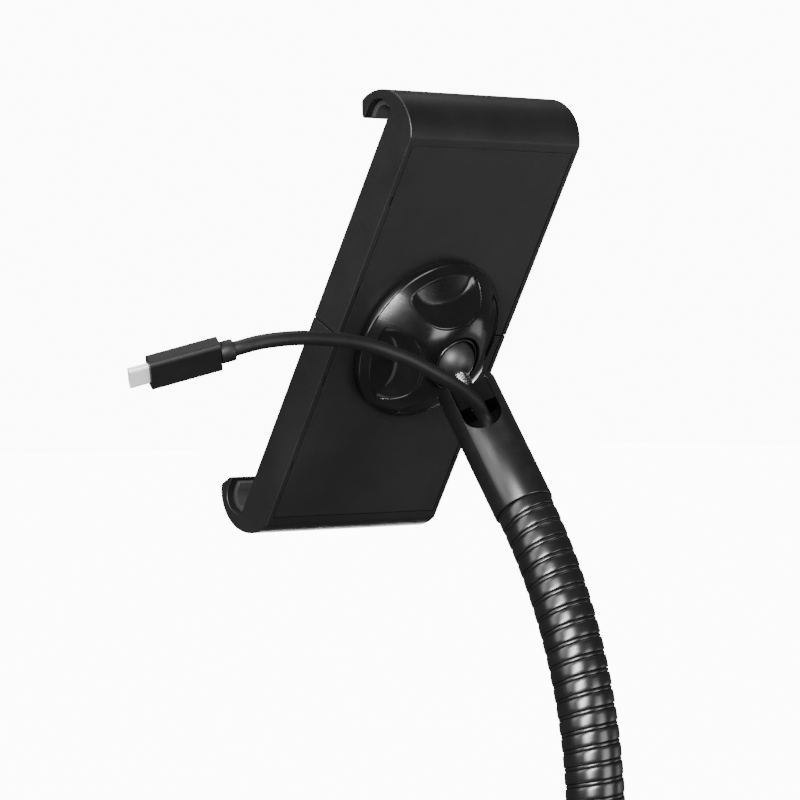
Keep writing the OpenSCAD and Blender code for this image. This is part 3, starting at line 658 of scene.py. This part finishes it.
# %% The knob's heights
knob_radius, knob_top, mouth_radius, ring_seat = 31.3, 19.5, 10.0, 14.9
pocket_middle, pocket_reach, pocket_half_width, pocket_limit = 24.5, 10.5, 15.2, 28.5
oval_power = 2.4
ray_start = Vector((pocket_middle - 2.5, 0, 0))

def dome(r):
    t = (30 - r) / 20
    return 5 + (knob_top - 5) * t + 12 * t * (1 - t)

def pocket_floor(x, y):
    """A shelf near the skirt, inside a wall that leans most towards the mouth. Ovals that grow from the foot of
    the wall to its rim give the share of the climb."""
    r = math.hypot(x, y)
    low, high = -0.6, 1.0
    for _ in range(16):
        climb = (low + high) / 2
        u = abs(x - 26.5 + 2 * climb) / (7.3 + 3.2 * climb)
        v = abs(y) / (12.4 + 2.8 * climb)
        low, high = (climb, high) if u ** oval_power + v ** oval_power > 1 else (low, climb)
    eased_climb = (climb + math.sqrt(climb * climb + 0.012)) / 2
    shelf = 5.9 + (29 - r) * 3.3 / 9.8
    return shelf + (dome(r) - shelf) * eased_climb

def rim_point(i, steps):
    """The pocket's outline: an oval, held in by a circle near the skirt."""
    a = math.tau * i / steps
    c, s = math.cos(a), math.sin(a)
    x = pocket_middle + pocket_reach * math.copysign(abs(c) ** (2 / oval_power), c)
    y = pocket_half_width * math.copysign(abs(s) ** (2 / oval_power), s)
    r = math.hypot(x, y)
    ease, spare = 1.5, pocket_limit - r
    held = pocket_limit - (spare if spare > ease else ease * math.exp((spare - ease) / ease))
    return Vector((x * held / r, y * held / r, 0))

def quarter_edge(direction):
    """Where a ray from the pocket's middle leaves the quarter's cell."""
    low, high = 0.0, 80.0
    for _ in range(40):
        t = (low + high) / 2
        p = ray_start + t * direction
        r, a = math.hypot(p.x, p.y), abs(math.atan2(p.y, p.x))
        inside = mouth_radius + 0.4 <= r <= knob_radius - 0.5 and a <= math.pi / 4
        low, high = (t, high) if inside else (low, t)
    return ray_start + low * direction

# %% One quarter of the knob
def knob_quarter(steps=128):
    rim = [rim_point(i, steps) for i in range(steps)]
    edge = [quarter_edge((p - ray_start).normalized()) for p in rim]
    inward = [(ray_start - p).normalized() for p in rim]

    def inset(back):
        return [p + back * n for p, n in zip(rim, inward)]

    # Each ring has its points and either its lift over the pocket's floor or its drop below the dome.
    foot = inset(0.5)
    rings = [([ray_start.lerp(p, t) for p in foot], 0, None)
             for t in (0.1, 0.22, 0.34, 0.45, 0.55, 0.64, 0.72, 0.79, 0.86, 0.92)]
    rings += [(inset(back), lift, None) for back, lift in ((0.5, 0), (0.2, 0.12))]
    rings += [(inset(back), None, drop) for back, drop in
              ((0.05, 0.55), (0.0, 0.36), (-0.03, 0.2), (-0.1, 0.09), (-0.2, 0.022), (-0.34, 0))]
    last = rings[-1][0]
    rings += [([p.lerp(q, t) for p, q in zip(last, edge)], None, 0) for t in (0.06, 0.14, 0.26, 0.42, 0.6, 0.8, 1)]
    mesh = bmesh.new()
    grid = []
    for points, lift, drop in rings:
        row = []
        for p in points:
            top = dome(math.hypot(p.x, p.y))
            height = min(pocket_floor(p.x, p.y), top - 0.6) + lift if drop is None else top - drop
            row.append(mesh.verts.new((p.x, p.y, height)))
        grid.append(row)
    mesh.faces.new(grid[0])
    loops = [[mesh.edges.get(pair) or mesh.edges.new(pair) for pair in zip(row, row[1:] + row[:1])] for row in grid]
    for lower, higher in zip(loops, loops[1:]):
        bmesh.ops.bridge_loops(mesh, edges=lower + higher)
    return mesh

def lock_knob():
    first_pocket, knob_bore = 106, 15.06
    whole = bmesh.new()
    for k in range(4):
        join(whole, swing(knob_quarter(), first_pocket + 90 * k))
    bmesh.ops.remove_doubles(whole, verts=whole.verts[:], dist=0.03)
    skirt = [(knob_radius - 0.5, dome(knob_radius - 0.5)), (knob_radius - 0.15, 3.75), (knob_radius, 3.55),
             (knob_radius, 0.55), (knob_radius - 0.15, 0.4), (knob_bore, 0.4), (knob_bore, ring_seat),
             (12.5, ring_seat), (12.5, 15.65), (10.1, 18.05), (mouth_radius, 18.2), (mouth_radius, knob_top - 0.35),
             (mouth_radius + 0.12, knob_top - 0.1), (mouth_radius + 0.4, dome(mouth_radius + 0.4))]
    join(whole, turned(skirt, 128, closed=False))
    bmesh.ops.recalc_face_normals(whole, faces=whole.faces[:])
    return whole

piece("knob_dome", lock_knob(), ON_CLAMP, "knob", ["lock_knob"], "polished_black_plastic", sharp=60)

# %% [markdown]
# ## The ball, its stud and the ring around it
# The steel ball and its threaded stud are turned from one bar. A thread is a profile that climbs as it turns, so
# the same spin operator makes it when it is given a lift for each step. The plastic ring that closes the socket
# is a lathe part too, with a round inside that hugs the ball and a small lip that catches the light.

# %% Turned helpers with a lift
def screw(profile, turns, pitch, steps_a_turn):
    """Spins an open profile of (radius, height) points while it climbs by the pitch in each turn."""
    mesh = bmesh.new()
    row = [mesh.verts.new((r, 0, z)) for r, z in profile]
    edges = [mesh.edges.new(pair) for pair in zip(row, row[1:])]
    steps = round(turns * steps_a_turn)
    bmesh.ops.spin(mesh, geom=row + edges, cent=(0, 0, 0), axis=(0, 0, 1), dvec=(0, 0, pitch / steps_a_turn),
                   angle=math.tau * turns, steps=steps, use_merge=False)
    bmesh.ops.remove_doubles(mesh, verts=mesh.verts[:], dist=0.002)
    bmesh.ops.recalc_face_normals(mesh, faces=mesh.faces[:])
    return mesh

ball_radius, socket_radius = 7.8, 8.56

def smooth_ball():
    sphere = bmesh.new()
    bmesh.ops.create_uvsphere(sphere, u_segments=96, v_segments=48, radius=ball_radius)
    return sphere

def threaded_stud():
    foot, top, core, crest = -20.9, -6.8, 2.62, 2.98
    shank = turned([(0, foot), (2.5, foot), (core, foot + 0.2), (core, top), (0, top)], 48)
    groove = core - 0.02
    thread = screw([(groove, 0), (crest, 0.38), (crest, 0.52), (groove, 0.9)], turns=13.2, pitch=1.0, steps_a_turn=40)
    bmesh.ops.translate(thread, verts=thread.verts[:], vec=(0, 0, foot + 0.1))
    return join(shank, thread)

ON_BALL = ON_NECK @ Matrix.Translation((0, 0, ball_reach))
piece("joint_ball", smooth_ball(), ON_BALL, "head", ["ball_stud"], "blackened_ball", sharp=45)
piece("threaded_stud", threaded_stud(), ON_BALL, "head", (), "turned_steel", sharp=30)

def closing_ring():
    foot = math.degrees(math.asin((ring_seat - ball_lift) / socket_radius))
    inside = arc(0, ball_lift, socket_radius, foot, 10, 16)
    lip = [(9.2, 18.8), (9.15, 19.1), (8.98, 19.28), (8.8, 19.34), (8.62, 19.28)]
    return turned([(12.3, ring_seat), (12.3, 15.7)] + lip + inside[::-1], 128)

piece("socket_ring", closing_ring(), ON_CLAMP, "clamp_ring", ["ball_ring"], "smooth_black_plastic")

# %% [markdown]
# ## The sleeves
# A sleeve is a tube with a rolled rim and a slot that is open at one end and round at the other. The tube is
# turned on the lathe, with its rims already rounded in the profile. The slot is an outline pushed through one
# wall. The edges that the cut leaves are rounded last, and only those: they are the edges near the slot.

# %% A sleeve with its slot
sleeve_length, sleeve_radius, sleeve_bore, slot_width, slot_depth = 50.6, 10.75, 8.75, 14.0, 21.4

def sleeve(slot_angle):
    r, b, l = sleeve_radius, sleeve_bore, sleeve_length
    tube = turned([(b, 0.2), (b + 0.3, 0), (r - 0.35, 0), (r - 0.1, 0.12), (r, 0.4), (r, l - 0.5),
                   (r - 0.15, l - 0.15), (r - 0.5, l), (b + 0.4, l), (b + 0.1, l - 0.15), (b, l - 0.4)], 160)
    turn_round = l - slot_depth + slot_width / 2
    outline = arc(0, turn_round, slot_width / 2, 180, 360, 32) + [(slot_width / 2, l + 2), (-slot_width / 2, l + 2)]
    tube = cut(tube, swing(drawn(outline, 0, 14, "Y"), -90))
    bmesh.ops.remove_doubles(tube, verts=tube.verts[:], dist=0.01)

    def at_slot(middle):
        side = abs(abs(middle.y) - slot_width / 2) < 0.02 and middle.z > turn_round - 0.1
        off_arc = abs(math.hypot(middle.y, middle.z - turn_round) - slot_width / 2)
        return middle.x > 0 and (side or off_arc < 0.06 and middle.z <= turn_round + 0.1)

    return swing(soften(tube, 0.3, sharper_than=50, where=at_slot), slot_angle)

turn_over = Matrix.Translation((0, 0, sleeve_length)) @ Matrix.Rotation(math.pi, 4, "X")
piece("upper_sleeve", sleeve(49), ON_NECK, "head", ["neck_sleeve"], "sprayed_sleeve", sharp=50)
piece("lower_sleeve", sleeve(90), ON_ARM @ turn_over, "arm", ["base_sleeve"], "sprayed_sleeve", sharp=50)

# %% [markdown]
# ## The flexible hose
# The arm is a steel hose wound from a strip, so its ribs are one long right-handed screw. Each turn has a wide flat
# crown and a narrow band that lies a little lower, with a thin dark groove on both sides. We spin that section with
# a lift, as for the thread, which gives a straight hose whose turns join up. Then every vertex is carried onto the
# arm's curve: straight first, then round the bend, then straight into the upper sleeve.

# %% The hose, straight
rib_pitch, hose_radius = 5.87, 10.15
hose_straight = bend_start - sleeve_length
hose_length = hose_straight + bend_radius * bend_angle

def rib_section():
    """One rib from groove to groove."""
    crown = [(0.0, -0.6), (0.07, -0.3), (0.18, -0.09), (0.38, -0.01), (1.3, 0.03), (2.25, 0.045), (3.2, 0.03),
             (4.12, -0.01), (4.32, -0.09), (4.43, -0.3), (4.5, -0.6)]
    band = [(4.58, -0.55), (4.68, -0.34), (4.9, -0.25), (5.2, -0.23), (5.5, -0.25), (5.7, -0.34), (5.8, -0.55),
            (rib_pitch, -0.6)]
    return [(hose_radius + depth, height) for height, depth in crown + band]

def straight_hose():
    """The ribs, cut off flat at both ends, with the smooth necks, the end rings and the bore."""
    bore, neck, neck_length, overlap = 6.4, 8.73, 9.9, 0.6
    mesh = screw(rib_section(), hose_length / rib_pitch + 1, rib_pitch, 48)
    bmesh.ops.translate(mesh, verts=mesh.verts[:], vec=(0, 0, -rib_pitch))
    for at, side in ((0.15, True), (hose_length - 0.15, False)):
        geom = mesh.verts[:] + mesh.edges[:] + mesh.faces[:]
        bmesh.ops.bisect_plane(mesh, geom=geom, plane_co=(0, 0, at), plane_no=(0, 0, 1),
                               clear_inner=side, clear_outer=not side)
    ends = [turned([(bore, a), (neck, a), (neck, b), (bore, b)], 48)
            for a, b in ((-neck_length, overlap), (hose_length - overlap, hose_length + neck_length))]
    caps = [turned([(8.7, a), (9.55, a), (9.55, a + s), (8.7, a + s)], 48)
            for a, s in ((0.16, 0.2), (hose_length - 0.16, -0.2))]
    inside = turned([(bore, 0.5 + (hose_length - 1) * k / 60) for k in range(61)], 48, closed=False)
    bmesh.ops.reverse_faces(inside, faces=inside.faces[:])
    return join(mesh, *ends, *caps, inside)

# %% The hose, bent
def on_the_arm(point):
    s = point.z
    a = min(max((s - hose_straight) / bend_radius, 0), bend_angle)
    if s <= hose_straight:
        centre = Vector((0, 0, sleeve_length + s))
    else:
        centre = Vector((0, -bend_radius * (1 - math.cos(a)), bend_start + bend_radius * math.sin(a)))
        centre += max(s - hose_length, 0) * along_neck
    return centre + Vector((point.x, point.y * math.cos(a), point.y * math.sin(a)))

hose_mesh = straight_hose()
for vertex in hose_mesh.verts:
    vertex.co = on_the_arm(vertex.co)
hose = piece("flexible_hose", hose_mesh, ON_ARM, None, ["gooseneck"], "sprayed_hose", sharp=70)
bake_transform(hose)

# %% [markdown]
# ## The cable inside the hose
# It can't be seen at rest, and its imported shape is right. A copy of its mesh, with its loose triangles joined up,
# is made into a piece in its place.

# %% The inner cable
inner = bmesh.new()
inner.from_mesh(nodes["cable_inner"].data)
bmesh.ops.remove_doubles(inner, verts=inner.verts[:], dist=1e-6)
inner_cable = piece("cable_in_hose", inner, Matrix.Identity(4), None, ["cable_inner"], "cable_skin")
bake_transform(inner_cable)

# %% [markdown]
# ## The plugs
# Both plugs are soft mouldings over a bright metal shell. A moulding is a bar whose section has round corners, and
# its ends are rounded a little afterwards. The small shell is a flat rounded tube with a tongue inside it. The large
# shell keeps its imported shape.

# %% Rounded bars
def bar(start, length, thick, wide, corner, end=0.0, steps=8):
    """A bar along X whose section is a rectangle with round corners."""
    a, b = thick / 2 - corner, wide / 2 - corner
    outline = arc(a, b, corner, 0, 90, steps) + arc(-a, b, corner, 90, 180, steps)
    outline += arc(-a, -b, corner, 180, 270, steps) + arc(a, -b, corner, 270, 360, steps)
    mesh = drawn(outline, start, start + length, "X")
    if end:
        soften(mesh, end, sharper_than=60)
    return mesh

# %% The small plug
collar_length, small_length = 4.9, 24.6
collar_profile = [(0, 0), (3.3, 0), (3.6, 0.15), (3.7, 0.45), (3.7, 4.5), (3.55, 4.8), (0, 4.85)]
collar = piece("small_plug_collar", swing(turned(collar_profile, 64), 90, "Y"), ON_PLUG, "head", ["cable_collar"],
               "cable_skin")
small_bar = bar(collar_length, small_length, thick=6, wide=12, corner=1.6, end=0.35)
small_plug = piece("small_plug_moulding", small_bar, ON_PLUG, "head", ["usb_c_body"], "cable_skin", flat=True)
shell_start = collar_length + small_length + 0.02
shell_cut = cut(bar(shell_start, 6.8, thick=2.6, wide=8.3, corner=1.25, end=0.12),
                bar(shell_start + 0.5, 7, thick=1.95, wide=7.65, corner=0.95))
small_shell = piece("small_plug_shell", shell_cut, ON_PLUG, "head", ["usb_c_shell"], "plated_shell", flat=True)
tongue_block = block((shell_start + 0.6, -0.3, -3.2), (shell_start + 5.6, 0.3, 3.2))
# the tongue gets the painted shade finish, so the plug's mouth looks dark
tongue = piece("small_plug_tongue", tongue_block, ON_PLUG, "head", (), "painted_shade_plastic")

# %% The large plug
ON_LARGE = ON_ARM @ Matrix.Translation((-57, -48, 4.2)) @ Matrix.Rotation(math.radians(90), 4, "Z")
large_bar = bar(0, 22, thick=15.6, wide=8, corner=1.8, end=0.8)
large_plug = piece("large_plug_moulding", large_bar, ON_LARGE, "arm", ["usb_a_body"], "cable_skin", flat=True)

# %% [markdown]
# ## The springs
# Two long springs pull the halves together. Each is a close-wound coil with a loop at both ends, around a post in
# each half. When the halves slide apart the coils open, so a spring is made as two pieces that meet in the middle.

# %% Spring halves
spring_side, spring_post, spring_depth, spring_mean, wire = 22.0, 52.0, -9.9, 1.4, 0.35
coil_turns, coil_pitch, loop_radius = 62, 0.79, 1.5

def spring_half():
    section = [(spring_mean + wire * math.cos(a), wire * math.sin(a)) for a in [math.tau * k / 6 for k in range(7)]]
    coil = swing(screw(section, coil_turns, coil_pitch, 14), -90, "X")
    loop = bmesh.new()
    around = [math.tau * k / 8 for k in range(8)]
    ring = [loop.verts.new((loop_radius + wire * math.cos(a), 0, wire * math.sin(a))) for a in around]
    edges = [loop.edges.new(pair) for pair in zip(ring, ring[1:] + ring[:1])]
    bmesh.ops.spin(loop, geom=ring + edges, cent=(0, 0, 0), axis=(0, 0, 1), angle=math.tau, steps=24,
                   use_merge=True)
    bmesh.ops.recalc_face_normals(loop, faces=loop.faces[:])
    bmesh.ops.translate(loop, verts=loop.verts[:], vec=(0, spring_post, 0))
    return join(coil, loop)

for side, name in ((-1, "left"), (1, "right")):
    for flip, half, body in ((0, "upper", "upper_half"), (1, "lower", "lower_half")):
        turn = Matrix.Rotation(math.pi * flip, 4, "Z")
        where = ON_CLAMP @ Matrix.Translation((side * spring_side, 0, spring_depth)) @ turn
        made = piece("spring_%s_%s" % (name, half), spring_half(), where, None, ["spring_" + name], "spring_wire",
                     sharp=80)
        ends = [(where @ Vector((0, y, 0))) for y in (0.5, 49)]
        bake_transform(made)

# %% [markdown]
# ## The parts that keep their imported shape
# The mechanism inside the clamp, the plugs in the sleeves, the coil's tie and the large plug's shell are right as
# they are. They only need their finish, which goes into the material slots that they came with.

# %% Finishes for the imported parts
# the plugs in the sleeves and the clamp's core get the painted shade finish
kept = {"base_plug": "painted_shade_plastic", "neck_plug": "painted_shade_plastic", "holder_core": "painted_shade_plastic",
        "ball_cup": "milky_nylon", "pinion": "milky_nylon", "upper_rack": "milky_nylon", "lower_rack": "milky_nylon",
        "pinion_pin": "turned_steel", "cable_tie": "woven_tie", "usb_a_shell": "plated_shell"}
for node, finish in kept.items():
    for holder in nodes[node].material_slots:
        holder.material = finishes[finish]
print(len(kept), "packed parts kept")

# %% [markdown]
# ## The free cables
# The upper and the lower charging cable, made above, are the two free cables.

print("two free cables")

# %% Update the scene
bpy.context.view_layer.update()
